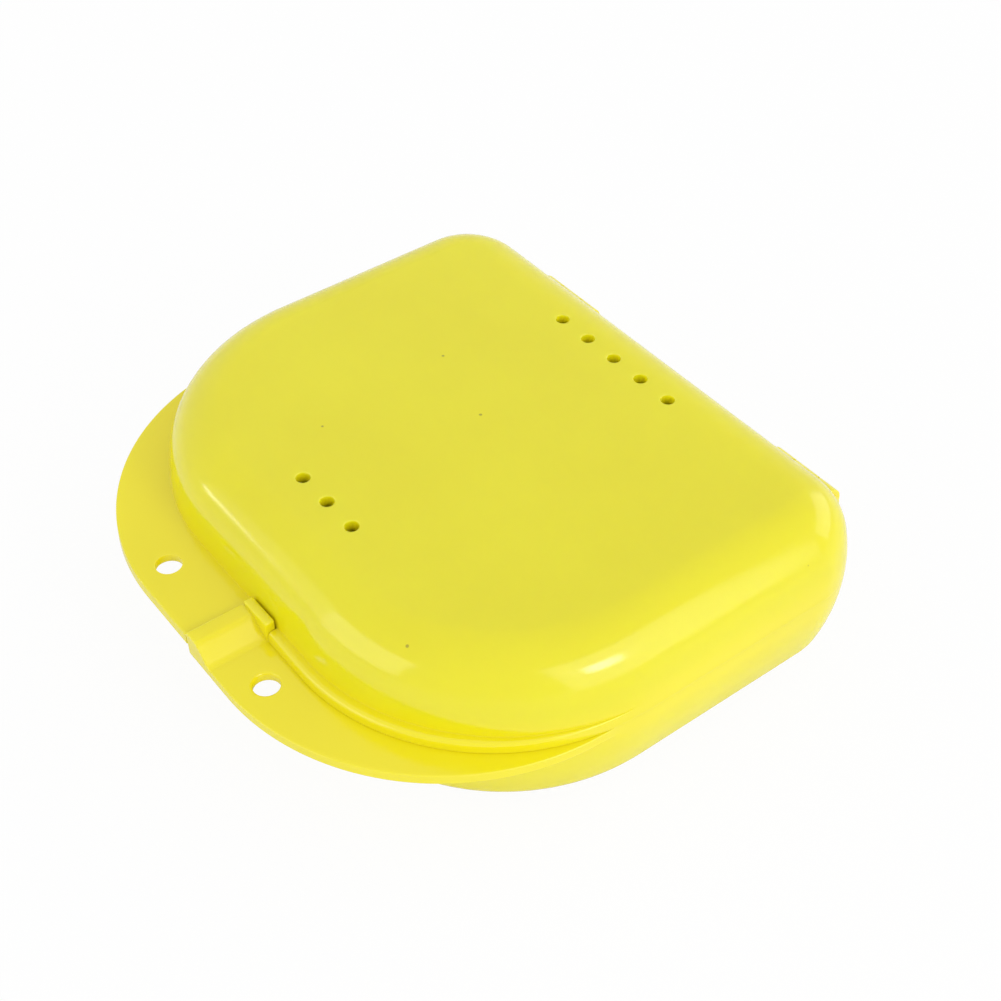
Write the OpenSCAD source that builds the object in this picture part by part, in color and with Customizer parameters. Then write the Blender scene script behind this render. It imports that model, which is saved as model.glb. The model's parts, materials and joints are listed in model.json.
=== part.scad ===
// Denture case: a D-shaped tray with a hinged lid. Each shell carries one half
// of the crescent grip at the front, and the tray's half ends in a raised rib
// with a catch post. Origin: centre of the closed case's footprint, on the
// face it stands on. X runs along the hinge, Y to the back, Z up.

/* [Body] */
// Width across the two straight sides
body_w = 82; // [78:0.5:100]
// Depth from the back wall to the front wall, at the parting plane
body_d = 65.2; // [60:0.2:80]
// Radius of the two front corners in plan
front_r = 28.7; // [24:0.1:32]
// Radius of the two back corners in plan
back_r = 10.3; // [9.5:0.1:14]
// Thickness of the moulded walls
wall = 1.5; // [1:0.1:2.2]

/* [Tray] */
// Height of the tray, from the table to the parting plane
tray_h = 14.1; // [12:0.1:20]
// Radius of the tray's outer bottom edge
tray_edge_r = 6; // [4:0.1:7]
// Draft of the tray's walls, in degrees
tray_draft = 9; // [4:0.5:10]

/* [Lid] */
// Height of the lid, from the parting plane to the top face
lid_h = 11; // [10:0.1:16]
// Radius of the lid's outer top edge
lid_edge_r = 7.3; // [5:0.1:8]
// Draft of the lid's walls, in degrees
lid_draft = 6; // [3:0.5:8]
// Gap between the two rims when the case is shut
rim_gap = 0.1; // [0.05:0.05:0.4]

/* [Locating tongue] */
// How far the tray's tongue stands up inside the lid
tongue_h = 1.2; // [0.8:0.1:2]
// Thickness of the tongue
tongue_t = 0.9; // [0.7:0.1:1.5]
// Clearance between the tongue and the lid's inner wall, at the parting plane
tongue_gap = 0.4; // [0.35:0.05:0.6]
// How far the band that carries the tongue runs down the tray's inner wall
tongue_root = 2.6; // [1.5:0.1:4]

/* [Crescent grip] */
// How far the grip reaches in front of the front wall
grip_reach = 9.1; // [8:0.1:14]
// Radius of the grip's rounded corners in plan
grip_r = 31.8; // [28:0.1:36]
// Thickness of each half of the grip
grip_t = 1.6; // [1.2:0.1:2.4]
// Gap between the ends of the two halves
split_gap = 0.3; // [0.3:0.1:0.8]
// Place of the tray half's end, right of the centre line
split_x = 0.5; // [0:0.1:2]
// Diameter of the lanyard hole in each half
hole_d = 3.3; // [2.5:0.1:4]
// Distance of each lanyard hole from the centre line
hole_x = 11.2; // [9.5:0.1:16]
// Distance of each lanyard hole from the grip's front edge
hole_inset = 4.2; // [3:0.1:5]

/* [Rim lip] */
// How far the narrow lip stands out where a shell has no grip
lip_reach = 1.3; // [1.2:0.1:1.8]
// Radius of the lip's corner in plan
lip_r = 28; // [24:0.1:32]
// Thickness of the lip
lip_t = 1.6; // [1:0.1:2.4]

/* [Rib and catch] */
// Width of the rib's flat top
rib_w = 2.2; // [1.5:0.1:3]
// Height of the rib above the grip
rib_h = 2.3; // [1.8:0.1:3]
// Length of the ramp from the rib's top down to the grip
ramp_w = 2.5; // [1.5:0.1:3]
// Width of the catch post along the front wall
catch_w = 5; // [4:0.1:6.5]
// Height of the catch post above the parting plane
catch_h = 3; // [2.4:0.1:4]
// Clearance between the catch post and the lid
catch_gap = 0.3; // [0.3:0.05:0.5]

/* [Vents] */
// Diameter of each vent hole in the lid
vent_d = 1.8; // [1.2:0.1:2.6]
// Distance between neighbouring vents
vent_pitch = 5.3; // [4:0.1:7]
// Number of vents in the back row
vents_back = 5; // [3:2:7]
// Number of vents in the front row
vents_front = 3; // [1:2:5]
// Distance of the back row from the back wall
vent_back_y = 9; // [8.7:0.1:14]
// Distance of the front row from the front wall
vent_front_y = 11.7; // [10:0.1:18]

/* [Hinge] */
// Distance of each hinge's middle from the side wall
hinge_inset = 17; // [16.5:0.5:24]
// Outer radius of the knuckles
knuckle_r = 2.2; // [1.8:0.1:3]
// Clearance between the knuckles and the other shell's back wall
knuckle_clear = 0.4; // [0.3:0.05:0.8]
// Length of the lid's knuckle
lid_knuckle_w = 4; // [3:0.1:6]
// Length of each of the tray's two knuckles
tray_knuckle_w = 3; // [2:0.1:5]
// Side gap between neighbouring knuckles
knuckle_gap = 0.3; // [0.2:0.05:0.6]
// How far each knuckle's web runs along its shell's wall
web_h = 4.5; // [3:0.1:5]
// Radius of the hinge pins
pin_r = 0.9; // [0.7:0.05:1.2]
// Running clearance of the pin in the lid's knuckle, on the radius
pin_clear = 0.08; // [0.03:0.01:0.1]
// Radius of the pin's head
head_r = 1.5; // [1.3:0.1:1.7]
// Thickness of the pin's head
head_t = 0.8; // [0.5:0.1:1.2]

/* [Hidden] */
$fn = 96;
yellow = [0.9, 0.85, 0.25];
// sizes at which solids meet face to face, kept on the grid
half_w = on_grid(body_w / 2);
depth = on_grid(body_d);
front_corner = on_grid(front_r);
back_corner = on_grid(back_r);
skin = on_grid(wall);
part_z = on_grid(tray_h);
rim = on_grid(rim_gap);
lid_z = on_grid(lid_h) - rim;
tray_round = on_grid(tray_edge_r);
lid_round = on_grid(lid_edge_r);
grip_d = depth + on_grid(grip_reach);
lip_d = depth + on_grid(lip_reach);
grip_corner = on_grid(grip_r);
lip_corner = on_grid(lip_r);
case_h = part_z + rim + lid_z;
hinge_x = half_w - hinge_inset;
hinge_y = knuckle_clear + knuckle_r;
// the whole case is centred on the origin: the grip is its front, the hinge its back
centre_y = (grip_d - hinge_y - knuckle_r) / 2;
hole_y = -(grip_d - hole_inset);
hinge_w = lid_knuckle_w + 2 * (knuckle_gap + tray_knuckle_w);
catch_x = split_x + catch_gap;
// slack: tools that cut through a face run on past it by this much
slack = 1;
// lap: solids that make up one shell run into each other by this much
lap = 1;
// sink: a drafted wall meets its rounded edge this far inside the round
sink = 0.002;

// rounds a length to a 1024th of a millimetre: sums of such lengths come out exact,
// so solids that share a face agree on its place
function on_grid(x) = round(x * 1024) / 1024;
// inset of the rounded edge's centre line from the outline at the parting plane
function edge_inset(h, r, draft) = on_grid((r + (h - r) * sin(draft)) / cos(draft));
// inset of a drafted wall's inner face from the outline at the parting plane
function wall_inset(draft) = on_grid(wall / cos(draft));

// D-shaped plan outline, drawn inset; y = 0 is the outline's back
module plan(inset, d, r) {
    side = half_w - inset;
    polygon([
        [side, -back_corner], [side, r - d], [half_w - r, inset - d], [r - half_w, inset - d],
        [-side, r - d], [-side, -back_corner],
        [back_corner - half_w, -inset], [half_w - back_corner, -inset]
    ]);
    for (s = [-1, 1]) {
        translate([s * (half_w - back_corner), -back_corner])
            circle(r = back_corner - inset);
        translate([s * (half_w - r), r - d])
            circle(r = r - inset);
    }
}

// section of a drafted wall with a rounded top edge; x = 0 is the outline
module edge_section(h, r, draft) {
    c = edge_inset(h, r, draft);
    reach = r - sink;
    polygon([[-c, 0], [0, 0], [reach * cos(draft) - c, h - r + reach * sin(draft)], [-c, h - r]]);
    translate([-c - lap, 0])
        square([lap, h]);
    intersection() {
        translate([-c, h - r])
            circle(r = r);
        translate([-c, h - r])
            square(r);
    }
}

// carries a section along one straight side, outwards in the direction turn
module straight_run(start, turn, length) {
    translate([start.x, start.y, 0])
        rotate([0, 0, turn])
            rotate([90, 0, 0])
                linear_extrude(length)
                    children();
}

// carries a section round one corner of the plan
module corner_run(centre, turn, r) {
    translate([centre.x, centre.y, 0])
        rotate([0, 0, turn])
            rotate_extrude(angle = 90)
                translate([r, 0])
                    children();
}

// solid block with the case's plan, drafted walls and one rounded edge, standing on z = 0
module shell_block(inset, h, r, draft) {
    c = inset + edge_inset(h, r, draft);
    side = half_w - inset;
    back = half_w - back_corner;
    front = half_w - front_corner;
    run = depth - front_corner - back_corner;
    straight_run([side, -back_corner], 0, run) edge_section(h, r, draft);
    straight_run([-side, front_corner - depth], 180, run) edge_section(h, r, draft);
    straight_run([-back, -inset], 90, 2 * back) edge_section(h, r, draft);
    straight_run([front, inset - depth], -90, 2 * front) edge_section(h, r, draft);
    corner_run([back, -back_corner], 0, back_corner - inset) edge_section(h, r, draft);
    corner_run([-back, -back_corner], 90, back_corner - inset) edge_section(h, r, draft);
    corner_run([front, front_corner - depth], -90, front_corner - inset) edge_section(h, r, draft);
    corner_run([-front, front_corner - depth], 180, front_corner - inset) edge_section(h, r, draft);
    linear_extrude(h)
        plan(c + lap / 2, depth, front_corner);
}

// half of a plate that reaches forward of the body, with a drafted edge, from
// x = from near the centre line, round its corner and back to the straight side
module apron(d, r, h, draft, from) {
    lean = h * tan(draft);
    centre = [half_w - r, r - d];
    profile = [[0, 0], [r, 0], [r - lean, h], [0, h]];
    translate([centre.x, centre.y, 0])
        rotate([0, 0, -90])
            rotate_extrude(angle = 90)
                polygon(profile);
    straight_run(centre, -90, centre.x - from)
        polygon(profile);
    run = front_corner - depth - centre.y;
    if (run > 0)
        straight_run([centre.x, centre.y + run], 0, run)
            polygon(profile);
}

// cylinder along X, centred on x
module x_rod(x, r, length) {
    translate([x - length / 2, hinge_y, part_z])
        rotate([0, 90, 0])
            cylinder(r = r, h = length);
}

// knuckle with the web that joins it to the wall; up = 1 for the lid, -1 for the tray
module knuckle(x, w, up) {
    x_rod(x, knuckle_r, w);
    near = up > 0 ? rim : 0;
    translate([x - w / 2, 0, part_z])
        rotate([90, 0, 90])
            linear_extrude(w)
                polygon([
                    [-skin, up * near], [hinge_y, up * near],
                    [hinge_y, up * knuckle_r], [-skin, up * web_h]
                ]);
}

// turns a shape built upwards from z = 0 into one that hangs from the parting plane
module hung() {
    translate([0, 0, part_z])
        mirror([0, 0, 1])
            children();
}

// sets a shape built upwards from z = 0 on the lid's rim
module on_rim() {
    translate([0, 0, part_z + rim])
        children();
}

// room inside a shell, running out past its rim
module cavity(h, r, draft) {
    inset = wall_inset(draft);
    shell_block(inset, h - skin, r - skin, draft);
    translate([0, 0, -slack])
        linear_extrude(slack)
            plan(inset, depth, front_corner);
}

// tongue that locates the lid, with the band that carries it
module tongue() {
    outer = wall_inset(lid_draft) + tongue_gap;
    inner = outer + tongue_t;
    translate([0, 0, part_z - tongue_root])
        linear_extrude(tongue_root)
            difference() {
                plan(skin / 2, depth, front_corner);
                plan(inner, depth, front_corner);
            }
    translate([0, 0, part_z - tongue_root])
        linear_extrude(tongue_root + tongue_h)
            difference() {
                plan(outer, depth, front_corner);
                plan(inner, depth, front_corner);
            }
}

// raised rib with its ramp, across the inner end of the tray's half of the grip
module rib() {
    // it stops short of the grip's drafted edge, and runs into the catch post
    outer = grip_d - grip_t * tan(tray_draft);
    inner = lip_d - (lip_reach - catch_gap) / 2;
    translate([0, -inner, part_z - grip_t / 2])
        rotate([90, 0, 0])
            linear_extrude(outer - inner)
                polygon([
                    [split_x, 0], [split_x, rib_h + grip_t / 2],
                    [split_x + rib_w, rib_h + grip_t / 2],
                    [split_x + rib_w + ramp_w, grip_t / 2], [split_x + rib_w + ramp_w, 0]
                ]);
}

// post that stands up against the lid's front wall
module catch_post() {
    translate([catch_x, -lip_d, part_z - grip_t / 2])
        cube([catch_w, lip_reach - catch_gap, catch_h + grip_t / 2]);
}

module lanyard_hole(side) {
    translate([side * hole_x, hole_y, part_z - grip_t - slack])
        cylinder(d = hole_d, h = 2 * grip_t + rim + 2 * slack, $fn = 48);
}

module vent_row(count, y) {
    for (i = [0 : count - 1])
        translate([(i - (count - 1) / 2) * vent_pitch, y, case_h - skin - slack])
            cylinder(d = vent_d, h = skin + 2 * slack, $fn = 32);
}

module base_shell() {
    outer_x = lid_knuckle_w / 2 + knuckle_gap + tray_knuckle_w / 2;
    color(yellow)
        translate([0, centre_y, 0])
            difference() {
                union() {
                    difference() {
                        union() {
                            hung() shell_block(0, part_z, tray_round, tray_draft);
                            hung() apron(grip_d, grip_corner, grip_t, tray_draft, split_x);
                            hung()
                                mirror([1, 0, 0])
                                    apron(lip_d, lip_corner, lip_t, tray_draft, -split_x);
                            for (s = [-1, 1], t = [-1, 1])
                                knuckle(s * hinge_x + t * outer_x, tray_knuckle_w, -1);
                        }
                        hung() cavity(part_z, tray_round, tray_draft);
                    }
                    tongue();
                    rib();
                    catch_post();
                }
                lanyard_hole(1);
                for (s = [-1, 1])
                    x_rod(s * hinge_x, pin_r, hinge_w + 2 * slack);
            }
}

module lid_shell() {
    color(yellow)
        translate([0, centre_y, 0])
            difference() {
                union() {
                    on_rim() shell_block(0, lid_z, lid_round, lid_draft);
                    on_rim()
                        mirror([1, 0, 0])
                            apron(grip_d, grip_corner, grip_t, lid_draft, split_gap - split_x);
                    on_rim()
                        apron(lip_d, lip_corner, lip_t, lid_draft, catch_x + catch_w + catch_gap);
                    for (s = [-1, 1])
                        knuckle(s * hinge_x, lid_knuckle_w, 1);
                }
                on_rim() cavity(lid_z, lid_round, lid_draft);
                lanyard_hole(-1);
                vent_row(vents_back, -vent_back_y);
                vent_row(vents_front, vent_front_y - depth);
                for (s = [-1, 1])
                    x_rod(s * hinge_x, pin_r + pin_clear, lid_knuckle_w + 2 * slack);
            }
}

// headed pin, pushed in from the outer side of its hinge; its shank runs on into the head
module hinge_pin(side) {
    color(yellow)
        translate([0, centre_y, 0]) {
            x_rod(side * (hinge_x + head_t / 4), pin_r, hinge_w + head_t / 2);
            x_rod(side * (hinge_x + (hinge_w + head_t) / 2), head_r, head_t);
        }
}

module hinge_pin_left() {
    hinge_pin(-1);
}

module hinge_pin_right() {
    hinge_pin(1);
}

base_shell();
lid_shell();
hinge_pin_left();
hinge_pin_right();
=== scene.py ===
import json
import math

import bmesh
import bpy
from mathutils import Matrix, Vector


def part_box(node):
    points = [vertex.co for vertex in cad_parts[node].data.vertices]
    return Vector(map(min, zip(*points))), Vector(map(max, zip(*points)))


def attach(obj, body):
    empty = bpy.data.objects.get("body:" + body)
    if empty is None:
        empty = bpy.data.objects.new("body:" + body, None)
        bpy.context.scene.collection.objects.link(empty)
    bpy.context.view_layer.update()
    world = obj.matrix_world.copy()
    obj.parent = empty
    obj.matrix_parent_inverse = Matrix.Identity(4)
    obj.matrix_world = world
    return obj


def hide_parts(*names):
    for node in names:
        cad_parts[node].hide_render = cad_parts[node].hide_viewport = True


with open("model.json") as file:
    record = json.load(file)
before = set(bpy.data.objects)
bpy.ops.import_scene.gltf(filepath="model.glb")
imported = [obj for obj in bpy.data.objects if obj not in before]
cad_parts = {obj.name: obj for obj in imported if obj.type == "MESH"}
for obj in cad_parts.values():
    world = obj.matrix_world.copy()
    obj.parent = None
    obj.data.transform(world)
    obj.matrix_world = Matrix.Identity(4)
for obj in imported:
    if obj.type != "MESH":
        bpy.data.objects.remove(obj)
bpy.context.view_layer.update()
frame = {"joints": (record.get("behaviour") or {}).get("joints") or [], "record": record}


# ---------------------------------------------------------------------------
# The tray, which the case stands on. One thin moulding in glossy lemon-yellow
# polypropylene: drafted walls, a big rounded bottom edge, a tongue that locates
# the lid, the right half of the crescent grip, and two barrels at each hinge.
mm = 0.001
weld = 0.0002 * mm
tray_low, tray_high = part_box("base_shell")
hinge = Vector(frame["joints"][0]["pos_m"])
mounts = {m["name"]: m for m in frame["record"]["mounts"]}

wall = 1.5 * mm
hinge_out = 2.6 * mm
body_d = 65.2 * mm
half_w = tray_high.x
back_y = hinge.y - hinge_out
front_y = back_y - body_d
front_r = 28.7 * mm
back_r = 10.3 * mm
grip_out = front_y - tray_low.y
grip_r = 31.8 * mm
grip_t = 1.6 * mm
grip_fade = 0.4 * mm
lip_out = 1.3 * mm
lip_r = 28 * mm
least_reach = 0.08 * mm
step_x = 0.5 * mm
ledge = 0.02 * mm

tray_rim_z = hinge.z
tray_edge_r = 6 * mm
tray_draft = math.radians(9)
tongue_in = 1.908 * mm
tongue_t = 0.9 * mm
tongue_h = 1.2 * mm
tongue_root = 2.6 * mm
tongue_round_r = 0.2 * mm

rib_w = 1.8 * mm
rib_h = 2.3 * mm
rib_round_r = 0.25 * mm
ramp_w = 3.4 * mm
ramp_soft = 0.18
post_x = 0.8 * mm
post_w = 5 * mm
post_t = 1.3 * mm
post_gap = 0.1 * mm
post_h = 3 * mm
post_round_r = 0.25 * mm

barrel_r = 2.2 * mm
barrel_x = 24 * mm
tray_barrel_w = 3 * mm
tray_barrel_off = 3.8 * mm
web_h = 4.5 * mm
bore_r = 0.92 * mm
bore_cut_w = 12 * mm


def core_point(p):
    """The nearest point to p on the plan's core, from which its rounded corners are drawn."""
    r = front_r if p.y < (front_y + back_y) / 2 else back_r
    x = max(-(half_w - r), min(half_w - r, p.x))
    return Vector((x, max(front_y + front_r, min(back_y - back_r, p.y)), 0))


def plan_ring(bm, cuts):
    """The D-shaped plan as one closed ring of edges, with an extra point at each x in cuts.

    The straight sides are cut up too, and once more next to their ends, which keeps the
    shading of the corners out of them.
    """
    back_steps, front_steps, side_steps = 24, 44, 12
    end_gap = 0.1 * mm
    corners = [(half_w, back_y), (-half_w, back_y), (-half_w, front_y), (half_w, front_y)]
    points = [bm.verts.new((x, y, 0)) for x, y in corners]
    bm.faces.new(points)
    for pair, r, steps in ((points[:2], back_r, back_steps), (points[2:], front_r, front_steps)):
        bmesh.ops.bevel(bm, geom=pair, offset=r, offset_type="OFFSET", segments=steps,
                        profile=0.5, affect="VERTICES", material=-1)
    bmesh.ops.delete(bm, geom=list(bm.faces), context="FACES_ONLY")
    side_from, side_to = front_y + front_r, back_y - back_r
    side_cuts = [side_from + (side_to - side_from) * i / side_steps
                 for i in range(1, side_steps)]
    side_cuts += [side_from + end_gap, side_to - end_gap]
    for point, normal in ([((x, 0, 0), (1, 0, 0)) for x in cuts]
                          + [((0, y, 0), (0, 1, 0)) for y in side_cuts]):
        bmesh.ops.bisect_plane(bm, geom=bm.verts[:] + bm.edges[:], dist=weld,
                               plane_co=point, plane_no=normal)
    return list(bm.edges)


def reach_to(foot, normal, out, r):
    """How far a plate that stands out at the front reaches from foot along normal."""
    centre = Vector((half_w - r, front_y - out + r, 0))
    p = Vector((abs(foot.x), foot.y, 0))
    n = Vector((abs(normal.x), normal.y, 0))
    if n.y > -1e-6:
        return 0.0
    to_front = (p.y - (front_y - out)) / -n.y
    if (p + n * to_front).x <= centre.x:
        return to_front
    away = p - centre
    along = away.dot(n)
    to_arc = -along + math.sqrt(along * along - away.length_squared + r * r)
    if (p + n * to_arc).y > centre.y:
        return max(0.0, (half_w - p.x) / n.x)
    return max(0.0, to_arc)


def faded(reach, out, fade):
    """A reach that keeps its full length out, but runs out earlier and without a sliver."""
    reach = max(0.0, reach - fade) * out / (out - fade)
    return reach if reach > least_reach else 0.0


def arc(centre, r, start, end, steps):
    """Points of an arc in a section, from angle start to angle end in degrees."""
    angles = [math.radians(start + (end - start) * i / steps) for i in range(steps + 1)]
    return [(centre[0] + r * math.cos(a), centre[1] + r * math.sin(a)) for a in angles]


def edge_inset(h, edge_r, draft):
    """How far in from the rim the flat face of a shell starts, over its rounded edge."""
    return (edge_r + (h - edge_r) * math.sin(draft)) / math.cos(draft)


def wall_rows(h, edge_r, draft, reach, edge, rise=0.0, rise_from=0.0):
    """Outer side of a shell's section as (out, up) pairs: up is measured from the rim.

    It runs from the flat face over the rounded edge, down a wall that bellies out until it
    is upright at the rim, along the plate that stands out from it by reach, and round that
    plate, whose outer edge is rounded by edge, to the rim. Beyond rise_from, the plate of
    the tray rises by rise into the rib and its ramp.
    """
    inset = edge_inset(h, edge_r, draft)

    # the wall's lean where it meets the rounded edge without a kink, found by repetition
    lean = 2 * draft
    for _ in range(20):
        wall_top = h - edge_r + edge_r * math.sin(lean)
        lean = math.atan(2 * (inset - edge_r * math.cos(lean)) / wall_top)
    belly = math.tan(lean) / (2 * wall_top)
    rows = arc((-inset, h - edge_r), edge_r, 90, math.degrees(lean), 14)

    highest_foot, wall_steps = 0.8, 6
    foot = min(grip_t, highest_foot * wall_top)
    for i in range(1, wall_steps + 1):
        up = wall_top + (foot - wall_top) * i / wall_steps
        rows.append((-belly * up * up, up))

    # both roundings keep to a share of the reach, so they shrink with it where it runs out
    edge_share, under_r, under_share = 0.55, 0.15 * mm, 0.2
    edge = min(edge, edge_share * reach)
    under = min(under_r, under_share * reach)
    outer = max(reach, edge) - belly * foot * foot
    rows += arc((outer - edge, foot - edge), edge, 90, 0, 6)
    rows += [(out, up - rise) for out, up in arc((reach - under, under), under, 0, -90, 4)]
    inner = min(reach - under, rise_from)
    back_slope = 1.08
    return rows + [(min(reach - under, inner * back_slope), -rise), (inner, 0.0)]


def loft(bm, ring, rows, place):
    """Carries the ring through the rows of every column, one extrusion for each row."""
    column = bm.verts.layers.int.new("column")
    new = list(bm.verts)
    first = list(ring)
    feet = []
    for v in new:
        v[column] = len(feet)
        feet.append((v.co.copy(), (v.co - core_point(v.co)).normalized()))
    sections = [rows(foot, normal) for foot, normal in feet]
    for k in range(len(sections[0])):
        if k:
            made = bmesh.ops.extrude_edge_only(bm, edges=ring)["geom"]
            new = [v for v in made if isinstance(v, bmesh.types.BMVert)]
            fresh = set(new)
            ring = [e for e in made
                    if isinstance(e, bmesh.types.BMEdge) and fresh.issuperset(e.verts)]
        for v in new:
            foot, normal = feet[v[column]]
            out, up = sections[v[column]][k]
            v.co = place(foot + normal * out, up)
    # the flat face outside and the one inside close the shell
    bmesh.ops.contextual_create(bm, geom=first)
    bmesh.ops.contextual_create(bm, geom=ring)
    bmesh.ops.remove_doubles(bm, verts=bm.verts[:], dist=weld)
    bmesh.ops.dissolve_degenerate(bm, edges=bm.edges[:], dist=weld)
    bmesh.ops.recalc_face_normals(bm, faces=bm.faces[:])


def solid(name, bm):
    """Makes an object of a bmesh and frees the bmesh."""
    mesh = bpy.data.meshes.new(name)
    bm.to_mesh(mesh)
    bm.free()
    made = bpy.data.objects.new(name, mesh)
    bpy.context.scene.collection.objects.link(made)
    return made


def spun(name, profile, centre, axis, steps=48):
    """A closed turned solid: profile is (radius, height) pairs from axis to axis."""
    bm = bmesh.new()
    line = [bm.verts.new((r, 0, z)) for r, z in profile]
    edges = [bm.edges.new(pair) for pair in zip(line, line[1:])]
    bmesh.ops.spin(bm, geom=line + edges, cent=(0, 0, 0), axis=(0, 0, 1),
                   angle=math.tau, steps=steps, use_merge=True)
    bmesh.ops.remove_doubles(bm, verts=bm.verts[:], dist=weld)
    bmesh.ops.recalc_face_normals(bm, faces=bm.faces[:])
    turn = Vector((0, 0, 1)).rotation_difference(Vector(axis)).to_matrix().to_4x4()
    bmesh.ops.transform(bm, matrix=Matrix.Translation(centre) @ turn, verts=bm.verts[:])
    return solid(name, bm)


def block(name, low, high, round_r, segments=3):
    """A box between two corners, with rounded edges."""
    bm = bmesh.new()
    low, high = Vector(low), Vector(high)
    bmesh.ops.create_cube(bm, size=1)
    bmesh.ops.scale(bm, vec=high - low, verts=bm.verts[:])
    bmesh.ops.translate(bm, vec=(low + high) / 2, verts=bm.verts[:])
    bmesh.ops.bevel(bm, geom=bm.edges[:], offset=round_r, offset_type="OFFSET", profile=0.5,
                    segments=segments, affect="EDGES", material=-1)
    return solid(name, bm)


def barrel(name, x, width, up):
    """A hinge barrel and the web that joins it to the wall.

    up is 1 for the lid's barrels, whose webs rise, and -1 for the tray's.
    """
    end_round_r = 0.12 * mm
    low = 0.1 * mm
    into_wall = 0.7 * wall
    sweep_steps = 8

    # the section runs from the wall at the parting plane round the barrel, and back to the
    # wall along the web's hollow sweep
    start = 180 - math.degrees(math.asin(low / barrel_r))
    root = back_y - into_wall - hinge.y
    sweep = [(i / sweep_steps, 1 - i / sweep_steps) for i in range(1, sweep_steps + 1)]
    web = [(root * (1 - b * b), barrel_r + (web_h - barrel_r) * a * a) for a, b in sweep]
    outline = [(root, low)] + arc((0, 0), barrel_r, start, 450, 48) + web
    bm = bmesh.new()
    corners = [bm.verts.new((x - width / 2, hinge.y + y, hinge.z + up * z)) for y, z in outline]
    bm.faces.new(corners)
    made = bmesh.ops.extrude_face_region(bm, geom=bm.faces[:])["geom"]
    bmesh.ops.translate(bm, vec=(width, 0, 0),
                        verts=[v for v in made if isinstance(v, bmesh.types.BMVert)])
    bmesh.ops.recalc_face_normals(bm, faces=bm.faces[:])
    ends = [e for e in bm.edges if any(abs(f.normal.x) > 0.9 for f in e.link_faces)]
    bmesh.ops.bevel(bm, geom=ends, offset=end_round_r, offset_type="OFFSET", segments=2,
                    profile=0.5, affect="EDGES", material=-1)
    return solid(name, bm)


def carve(body, added, cut):
    """Joins the added solids to body and cuts the others out of it."""
    for tools, operation in ((added, "UNION"), (cut, "DIFFERENCE")):
        if not tools:
            continue
        group = bpy.data.collections.new(operation)
        for tool in tools:
            group.objects.link(tool)
        modifier = body.modifiers.new(operation, "BOOLEAN")
        modifier.operation = operation
        modifier.operand_type = "COLLECTION"
        modifier.collection = group
        modifier.solver = "MANIFOLD"
    shape = body.evaluated_get(bpy.context.evaluated_depsgraph_get())
    mesh = bpy.data.meshes.new_from_object(shape)
    mesh.materials.clear()
    body.modifiers.clear()
    body.data = mesh
    for tool in added + cut:
        bpy.data.objects.remove(tool)


def smooth(body, angle=32):
    """Shades the piece smooth, apart from edges sharper than angle.

    Where a sharp edge runs out into a rounded one, the sharpest of the rounded edges is
    split too, or the faces on its two sides would share one normal there.
    """
    close = 0.0005 * mm
    least_turn = math.radians(8)
    bm = bmesh.new()
    bm.from_mesh(body.data)
    bmesh.ops.remove_doubles(bm, verts=bm.verts[:], dist=close)
    bmesh.ops.dissolve_degenerate(bm, edges=bm.edges[:], dist=close)
    for f in bm.faces:
        f.smooth = True
    for e in bm.edges:
        e.smooth = len(e.link_faces) == 2 and e.calc_face_angle(0) < math.radians(angle)
    ends = [v for v in bm.verts if sum(not e.smooth for e in v.link_edges) == 1]
    for v in ends:
        widest = max([e for e in v.link_edges if e.smooth],
                     key=lambda e: (round(e.calc_face_angle(0), 3), *e.other_vert(v).co))
        if widest.calc_face_angle(0) > least_turn:
            widest.smooth = False
    bm.to_mesh(body.data)
    bm.free()
    weighted = body.modifiers.new("weighted", "WEIGHTED_NORMAL")
    weighted.keep_sharp = True
    weighted.weight = 100


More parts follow.
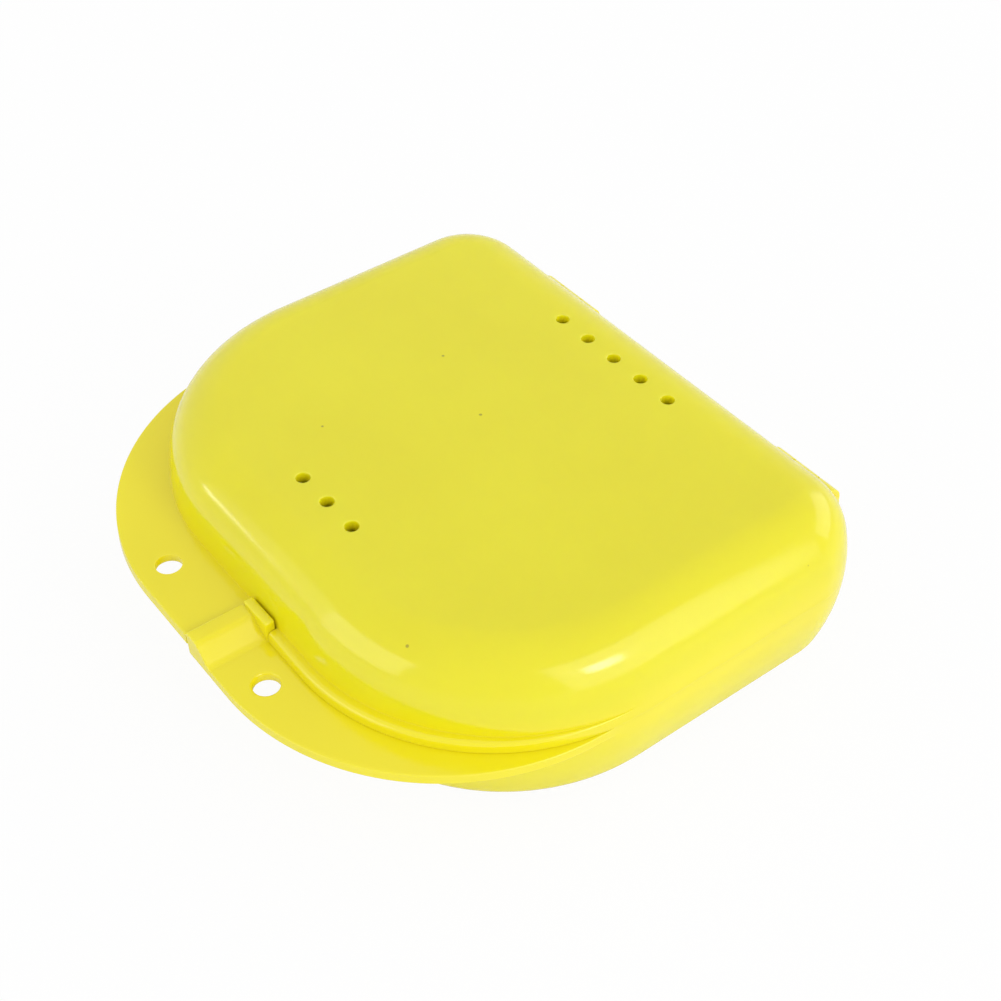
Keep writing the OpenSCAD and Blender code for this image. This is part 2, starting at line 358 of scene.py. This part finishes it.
def glossy_plastic(name, colour):
    """Glossy coloured polypropylene that lets some light through its thin walls.

    Fine orange peel and long moulding waves bend its reflections, handling has dulled it in
    patches and along its edges, and a few dark flecks sit in the moulding. The thicker rims
    and the grip, near the parting plane, let less light through than the walls.
    """
    fleck_colour = (0.23, 0.17, 0.02)
    rim_glow, wall_glow = 0.1, 0.9
    rim_band, wall_band = 1.5 * mm, 4 * mm
    material = bpy.data.materials.new(name)
    material.use_nodes = True
    nodes, links = material.node_tree.nodes, material.node_tree.links
    shader = nodes["Principled BSDF"]
    place = nodes.new("ShaderNodeTexCoord").outputs["Object"]

    def noise(scale, detail):
        made = nodes.new("ShaderNodeTexNoise")
        made.inputs["Scale"].default_value = scale
        made.inputs["Detail"].default_value = detail
        links.new(place, made.inputs["Vector"])
        return made.outputs["Fac"]

    def ramp(value, low, high, to_low, to_high):
        made = nodes.new("ShaderNodeMapRange")
        made.inputs["From Min"].default_value = low
        made.inputs["From Max"].default_value = high
        made.inputs["To Min"].default_value = to_low
        made.inputs["To Max"].default_value = to_high
        links.new(value, made.inputs["Value"])
        return made.outputs["Result"]

    def blend(factor, below, above):
        made = nodes.new("ShaderNodeMix")
        made.data_type = "RGBA"
        for socket, value in (("A", below), ("B", above)):
            if isinstance(value, tuple):
                made.inputs[socket].default_value = (*value, 1)
            else:
                links.new(value, made.inputs[socket])
        links.new(factor, made.inputs["Factor"])
        return made.outputs["Result"]

    def math_node(operation, first, second):
        made = nodes.new("ShaderNodeMath")
        made.operation = operation
        links.new(first, made.inputs[0])
        links.new(second, made.inputs[1])
        return made.outputs["Value"]

    def bump(height, strength, depth, normal=None):
        made = nodes.new("ShaderNodeBump")
        made.inputs["Strength"].default_value = strength
        made.inputs["Distance"].default_value = depth
        links.new(height, made.inputs["Height"])
        if normal:
            links.new(normal, made.inputs["Normal"])
        return made.outputs["Normal"]

    flecks = nodes.new("ShaderNodeTexVoronoi")
    flecks.inputs["Scale"].default_value = 120
    links.new(place, flecks.inputs["Vector"])
    fleck = ramp(flecks.outputs["Distance"], 0.02, 0.03, 0.6, 0)
    rounded = nodes.new("ShaderNodeBevel")
    rounded.samples = 4
    rounded.inputs["Radius"].default_value = 0.3 * mm
    facing = nodes.new("ShaderNodeVectorMath")
    facing.operation = "DOT_PRODUCT"
    links.new(rounded.outputs["Normal"], facing.inputs[0])
    links.new(nodes.new("ShaderNodeNewGeometry").outputs["Normal"], facing.inputs[1])
    worn_edge = ramp(facing.outputs["Value"], 0.98, 0.9, 0, 1)

    deep = tuple(0.96 * c for c in colour)
    pale = tuple(c + 0.03 for c in colour)
    body = blend(ramp(noise(45, 2), 0.35, 0.65, 0, 1), deep, colour)
    body = blend(worn_edge, body, pale)
    links.new(blend(fleck, body, fleck_colour), shader.inputs["Base Color"])

    handled = ramp(noise(300, 5), 0.45, 0.75, 0.12, 0.19)
    edges = ramp(worn_edge, 0, 1, 0, 0.1)
    links.new(math_node("ADD", handled, edges), shader.inputs["Roughness"])
    shader.inputs["IOR"].default_value = 1.62

    split = nodes.new("ShaderNodeSeparateXYZ")
    links.new(place, split.inputs["Vector"])
    above, below = (ramp(split.outputs["Z"], tray_rim_z + side * rim_band,
                         tray_rim_z + side * wall_band, 0, 1) for side in (1, -1))
    thin = math_node("ADD", above, below)
    links.new(ramp(thin, 0, 1, rim_glow, wall_glow), shader.inputs["Subsurface Weight"])
    shader.inputs["Subsurface Radius"].default_value = (1.0, 0.9, 0.1)
    shader.inputs["Subsurface Scale"].default_value = 3 * mm

    waves = bump(noise(60, 1), 0.2, 0.05 * mm)
    peel = bump(noise(2200, 2), 0.1, 0.01 * mm, waves)
    links.new(peel, shader.inputs["Normal"])
    return material


lemon = (0.89, 0.78, 0.009)
yellow = glossy_plastic("yellow_plastic", lemon)


def rise_at(x):
    """Height of the rib and its ramp above the grip, at x."""
    if not step_x - ledge / 2 < x < step_x + rib_w + ramp_w:
        return 0.0
    if x < step_x + rib_round_r:
        side = (step_x + rib_round_r - x) / rib_round_r
        return rib_h - rib_round_r * (1 - math.sqrt(max(0.0, 1 - side * side)))
    down = max(0.0, (x - step_x - rib_w) / ramp_w)
    if down < ramp_soft:
        fall = down * down / (2 * ramp_soft)
    elif down > 1 - ramp_soft:
        fall = 1 - ramp_soft - (1 - down) ** 2 / (2 * ramp_soft)
    else:
        fall = down - ramp_soft / 2
    return rib_h * (1 - fall / (1 - ramp_soft))


def tray_rows(foot, normal):
    """The tray's whole section: outer side, rim, tongue and inner side."""
    edge, root_slope = 0.3 * mm, 0.25 * mm
    at_front, on_straight = normal.y < -1e-6, normal.y < -0.999
    on_grip = at_front and foot.x > step_x - ledge / 2
    out, r = (grip_out, grip_r) if on_grip else (lip_out, lip_r)
    reach = faded(reach_to(foot, normal, out, r), out, grip_fade if on_grip else 0)
    rise = rise_at(foot.x) if on_grip and on_straight else 0.0
    rows = wall_rows(tray_rim_z, tray_edge_r, tray_draft, reach, edge, rise, post_t)
    lean = math.tan(tray_draft)
    inset = edge_inset(tray_rim_z, tray_edge_r, tray_draft)
    skin = wall / math.cos(tray_draft)
    outer, inner = -tongue_in, -tongue_in - tongue_t
    rows += [(outer, 0), (outer, -tongue_h + tongue_round_r)]
    rows += [(outer - tongue_round_r, -tongue_h), (inner + tongue_round_r, -tongue_h)]
    rows += [(inner, -tongue_h + tongue_round_r), (inner, tongue_root)]
    below = tongue_root + root_slope
    rows += [(-skin - below * lean, below)]
    return rows + arc((-inset, tray_rim_z - tray_edge_r), tray_edge_r - wall,
                      math.degrees(tray_draft), 90, 10)


# the plan has more points beside the lanyard holes, at the rib's sheer side, round its
# rounded edge and along its ramp
ramp_steps = 16
hole_cuts = [s * i * mm for s in (-1, 1) for i in (8, 9.2, 10.2, 11.2)]
rib_cuts = [step_x - ledge, step_x]
rib_cuts += [step_x + rib_round_r * i for i in (0.24, 0.56, 1)]
rib_cuts += [step_x + rib_w + ramp_w * i / ramp_steps for i in range(ramp_steps + 1)]
bm = bmesh.new()
ring = plan_ring(bm, rib_cuts + hole_cuts)
loft(bm, ring, tray_rows, lambda p, up: Vector((p.x, p.y, tray_rim_z - up)))
tray = solid("tray", bm)

post = block("post", (post_x, front_y - post_gap - post_t, tray_rim_z - grip_t / 2),
             (post_x + post_w, front_y - post_gap, tray_rim_z + post_h), post_round_r)
tray_barrels = [barrel("barrel", s * barrel_x + t * tray_barrel_off, tray_barrel_w, -1)
                for s in (-1, 1) for t in (-1, 1)]


def through_hole(mount, rim_r, under_r):
    """Cutter for a round hole through a plate of the grip, with both of its edges rounded.

    Each rounding stops just short of the plate's face, so the cut never grazes it.
    """
    r, half = mount["dims"]["r_mm"] * mm, mount["dims"]["length_mm"] * mm / 2
    top = arc((r + rim_r, half - rim_r), rim_r, 180, 96, 6)
    under = arc((r + under_r, under_r - half), under_r, 264, 180, 6)
    profile = [(0, -half - mm), (r + under_r, -half - mm)] + under + top
    profile += [(r + rim_r, half + mm), (0, half + mm)]
    return spun("hole", profile, mount["pos_m"], (0, 0, 1))


def pin_bore(s, r, length):
    """Cutter for the bore of the left (s = -1) or right (s = 1) hinge."""
    return spun("bore", [(0, -length / 2), (r, -length / 2), (r, length / 2), (0, length / 2)],
                (s * barrel_x, hinge.y, hinge.z), (1, 0, 0))


carve(tray, [post] + tray_barrels,
      [through_hole(mounts["tray_lanyard_hole"], rim_r=0.35 * mm, under_r=0.6 * mm)]
      + [pin_bore(s, bore_r, bore_cut_w) for s in (-1, 1)])
smooth(tray)
tray.data.materials.append(yellow)
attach(tray, "base")
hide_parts("base_shell")


# ---------------------------------------------------------------------------
# Two hinge pins, pressed in from the outer side of each hinge. Each is a
# turned shank in the same yellow plastic, with a domed head.
pin_r = 0.9 * mm
pin_w = 10.6 * mm
head_r = 1.5 * mm
head_t = 0.8 * mm
head_round_r = 0.45 * mm
tip_in = 0.25 * mm
tip_h = 0.3 * mm
for s, side in ((-1, "left"), (1, "right")):
    tip = -pin_w / 2
    head = pin_w / 2
    profile = [(0, tip), (pin_r - tip_in, tip), (pin_r, tip + tip_h)]
    profile += [(pin_r, head), (head_r, head)]
    profile += arc((head_r - head_round_r, head + head_t - head_round_r), head_round_r, 0, 90, 6)
    pin = spun("pin_" + side, profile + [(0, head + head_t)],
               (s * barrel_x, hinge.y, hinge.z), (s, 0, 0))
    smooth(pin)
    pin.data.materials.append(yellow)
    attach(pin, "base")
    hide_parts("hinge_pin_" + side)


# ---------------------------------------------------------------------------
# The lid, moulded in the same yellow plastic: a flat vented top with a large
# soft edge, the left half of the grip, a narrow lip on the right, and one
# barrel between the tray's pair at each hinge.
lid_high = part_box("lid_shell")[1]
rim_gap = 0.01 * mm
lid_rim_z = tray_rim_z + rim_gap
lid_h = lid_high.z - lid_rim_z
lid_edge_r = 7.3 * mm
lid_draft = math.radians(6)
grip_end_x = 0.2 * mm
lip_start_x = 5.9 * mm
lip_fade = 0.12 * mm
lid_barrel_w = 4 * mm
lid_bore_r = 0.98 * mm
vent_r = 0.9 * mm
vent_taper = 0.17 * mm
vent_pitch = 5.3 * mm
back_vents_y = back_y - 9 * mm
front_vents_y = front_y + 11.7 * mm


def lid_rows(foot, normal):
    """The lid's whole section: outer side, rim and inner side."""
    grip_edge, lip_edge = 0.25 * mm, 0.65 * mm
    reach, edge = 0.0, grip_edge
    at_front = normal.y < -1e-6
    if at_front and foot.x < grip_end_x + ledge / 2:
        reach = faded(reach_to(foot, normal, grip_out, grip_r), grip_out, 0)
    elif at_front and foot.x > lip_start_x - ledge / 2:
        reach = faded(reach_to(foot, normal, lip_out, lip_r), lip_out, lip_fade)
        edge = lip_edge
    rows = wall_rows(lid_h, lid_edge_r, lid_draft, reach, edge)
    inset = edge_inset(lid_h, lid_edge_r, lid_draft)
    skin = wall / math.cos(lid_draft)
    rim_round = 0.1 * mm
    rows += [(-skin + rim_round, 0), (-skin, rim_round)]
    return rows + arc((-inset, lid_h - lid_edge_r), lid_edge_r - wall,
                      math.degrees(lid_draft), 90, 10)


end_cuts = [grip_end_x, grip_end_x + ledge, lip_start_x - ledge, lip_start_x]
bm = bmesh.new()
ring = plan_ring(bm, end_cuts + hole_cuts)
loft(bm, ring, lid_rows, lambda p, up: Vector((p.x, p.y, lid_rim_z + up)))
lid = solid("lid", bm)


def vent(x, y):
    """Cutter for one air vent through the lid's top, which narrows inwards.

    Its roundings stop just short of the two faces, as those of the lanyard holes do.
    """
    rim_r, inner_rim_r = 0.12 * mm, 0.05 * mm
    inner_r = vent_r - vent_taper
    top, low = lid_high.z, lid_high.z - wall
    upper = arc((vent_r + rim_r, top - rim_r), rim_r, 180, 100, 4)
    lower = arc((inner_r + inner_rim_r, low + inner_rim_r), inner_rim_r, 260, 180, 4)
    profile = [(0, low - mm), (inner_r + inner_rim_r, low - mm)] + lower + upper
    profile += [(vent_r + rim_r, top + mm), (0, top + mm)]
    return spun("vent", profile, (x, y, 0), (0, 0, 1), 40)


vents = [vent(i * vent_pitch, back_vents_y) for i in range(-2, 3)]
vents += [vent(i * vent_pitch, front_vents_y) for i in range(-1, 2)]
carve(lid, [barrel("barrel", s * barrel_x, lid_barrel_w, 1) for s in (-1, 1)],
      vents + [through_hole(mounts["lid_lanyard_hole"], rim_r=0.2 * mm, under_r=0.7 * mm)]
      + [pin_bore(s, lid_bore_r, lid_barrel_w + mm) for s in (-1, 1)])
smooth(lid)
lid.data.materials.append(yellow)
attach(lid, "lid")
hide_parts("lid_shell")


# ---------------------------------------------------------------------------
# The studio: a white sweep under soft light, seen through a short telephoto
# lens from the front right corner. None of it is part of the case.
floor_half_w = 3
floor_drop = 0.05 * mm
bm = bmesh.new()
bmesh.ops.create_grid(bm, x_segments=1, y_segments=1, size=floor_half_w)
bmesh.ops.translate(bm, vec=(0, 0, -floor_drop), verts=bm.verts[:])
floor = solid("floor", bm)

# the paper glows for the camera alone, so it reads as white and still keeps the case's shadow
paper_glow = 0.94
paper = bpy.data.materials.new("white_paper")
paper.use_nodes = True
nodes, links = paper.node_tree.nodes, paper.node_tree.links
nodes.clear()
matte = nodes.new("ShaderNodeBsdfDiffuse")
matte.inputs["Color"].default_value = (0.9, 0.9, 0.9, 1)
glow = nodes.new("ShaderNodeEmission")
glow.inputs["Strength"].default_value = 1
path = nodes.new("ShaderNodeLightPath")
seen = nodes.new("ShaderNodeMath")
seen.operation = "MULTIPLY"
seen.inputs[1].default_value = paper_glow
links.new(path.outputs["Is Camera Ray"], seen.inputs[0])
mix = nodes.new("ShaderNodeMixShader")
links.new(seen.outputs[0], mix.inputs["Fac"])
links.new(matte.outputs["BSDF"], mix.inputs[1])
links.new(glow.outputs["Emission"], mix.inputs[2])
links.new(mix.outputs["Shader"], nodes.new("ShaderNodeOutputMaterial").inputs["Surface"])
floor.data.materials.append(paper)

# the room gives soft light all round, and the camera sees it as plain white
world = bpy.data.worlds.new("studio")
bpy.context.scene.world = world
world.use_nodes = True
nodes, links = world.node_tree.nodes, world.node_tree.links
room = nodes["Background"]
room.inputs["Color"].default_value = (1, 1, 1, 1)
room.inputs["Strength"].default_value = 0.77
white = nodes.new("ShaderNodeBackground")
white.inputs["Color"].default_value = (1, 1, 1, 1)
white.inputs["Strength"].default_value = 1
path = nodes.new("ShaderNodeLightPath")
mix = nodes.new("ShaderNodeMixShader")
links.new(path.outputs["Is Camera Ray"], mix.inputs["Fac"])
links.new(room.outputs["Background"], mix.inputs[1])
links.new(white.outputs["Background"], mix.inputs[2])
links.new(mix.outputs["Shader"], nodes["World Output"].inputs["Surface"])


def toward(azimuth, elevation):
    """Direction from the case, with the azimuth counted from its front towards its right."""
    return Vector((math.sin(azimuth) * math.cos(elevation),
                   -math.cos(azimuth) * math.cos(elevation), math.sin(elevation)))


def panel(name, azimuth, elevation, width, height, radiance):
    """A rectangular lamp that faces the case: its place and size are angles, in degrees."""
    away = 1.2
    across = 2 * away * math.tan(math.radians(width / 2))
    high = 2 * away * math.tan(math.radians(height / 2))
    lamp = bpy.data.lights.new(name, "AREA")
    lamp.shape = "RECTANGLE"
    lamp.size, lamp.size_y = across, high
    lamp.energy = math.pi * across * high * radiance
    made = bpy.data.objects.new(name, lamp)
    direction = toward(math.radians(azimuth), math.radians(elevation))
    made.location = direction * away
    made.rotation_mode = "QUATERNION"
    made.rotation_quaternion = direction.to_track_quat("Z", "Y")
    made.visible_camera = False
    bpy.context.scene.collection.objects.link(made)


panel("key", 102, 25, 46, 50, 1.0)
panel("key_core", 98, 28, 15, 12, 6)
panel("front", -12.5, 22, 41, 32, 1.1)
panel("front_far", -40.5, 22.5, 15, 27, 0.4)
panel("strip", -44.9, 14.7, 6.4, 4.5, 3.5)
panel("rear", 165, 22, 50, 26, 1)

# the camera was solved from the vents, the lanyard holes and the outline
azimuth, elevation, roll = (math.radians(a) for a in (53.015, 43.411, -0.43))
aim = Vector((3.104, 4.738, 14)) * mm
distance = 217.119 * mm
back = toward(azimuth, elevation)
level = Vector((0, 0, 1)).cross(back).normalized()
upright = back.cross(level)
right = level * math.cos(roll) + upright * math.sin(roll)
up = upright * math.cos(roll) - level * math.sin(roll)
lens = bpy.data.cameras.new("camera")
lens.sensor_width = 36
lens.lens = 60.8
lens.clip_start, lens.clip_end = 0.01, 20
camera = bpy.data.objects.new("camera", lens)
turned = Matrix((right, up, back)).transposed().to_4x4()
camera.matrix_world = Matrix.Translation(aim + back * distance) @ turned
bpy.context.scene.collection.objects.link(camera)
bpy.context.scene.camera = camera
bpy.context.scene.view_settings.view_transform = "Standard"
